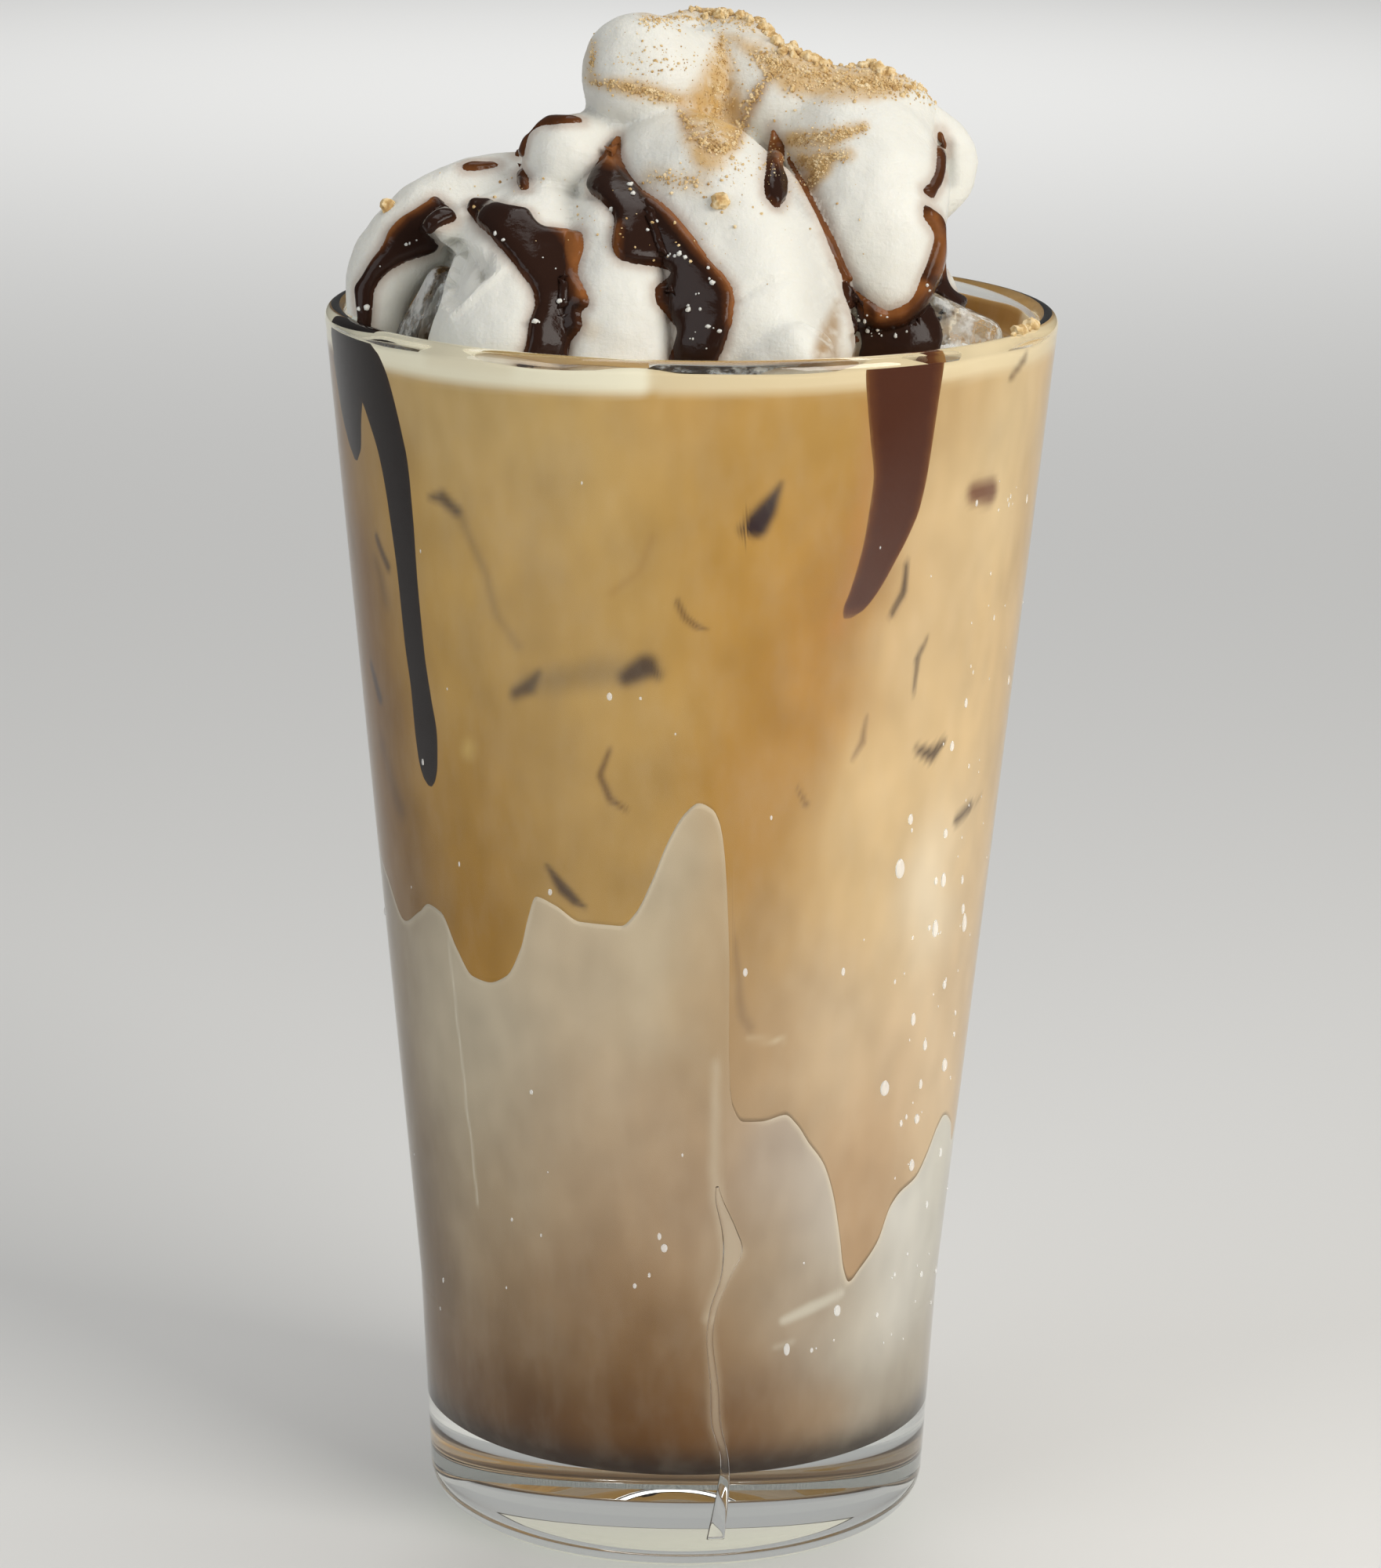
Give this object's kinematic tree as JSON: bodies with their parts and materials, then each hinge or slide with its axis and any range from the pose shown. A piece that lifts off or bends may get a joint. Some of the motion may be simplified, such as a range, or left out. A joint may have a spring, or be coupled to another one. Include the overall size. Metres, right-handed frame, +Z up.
{
  "type": "iced coffee",
  "caption": "Iced coffee over milk in a tapered pint glass, with ice, a heap of piped whipped cream, chocolate sauce and biscuit crumbs.",
  "frame": {"origin": "middle of the glass's foot, at the level it stands on", "axes": "+Z up through the mouth of the glass, front (the pictured side) towards -Y, +X to the viewer's right"},
  "size_m": [0.089, 0.089, 0.1877],
  "materials": {
    "clear_glass": "clear, smooth and glossy",
    "coffee": "opaque milky coffee",
    "milk": "opaque coffee-stained milk",
    "cream": "soft satin",
    "ice": "clear, wet"
  },
  "bodies": {
    "root": {"glass": "clear_glass", "coffee_layer": "coffee", "milk_layer": "milk", "ice_left": "ice", "ice_front": "ice", "ice_right": "ice", "ice_back": "ice", "whipped_cream": "cream"}
  },
  "joints": []
}
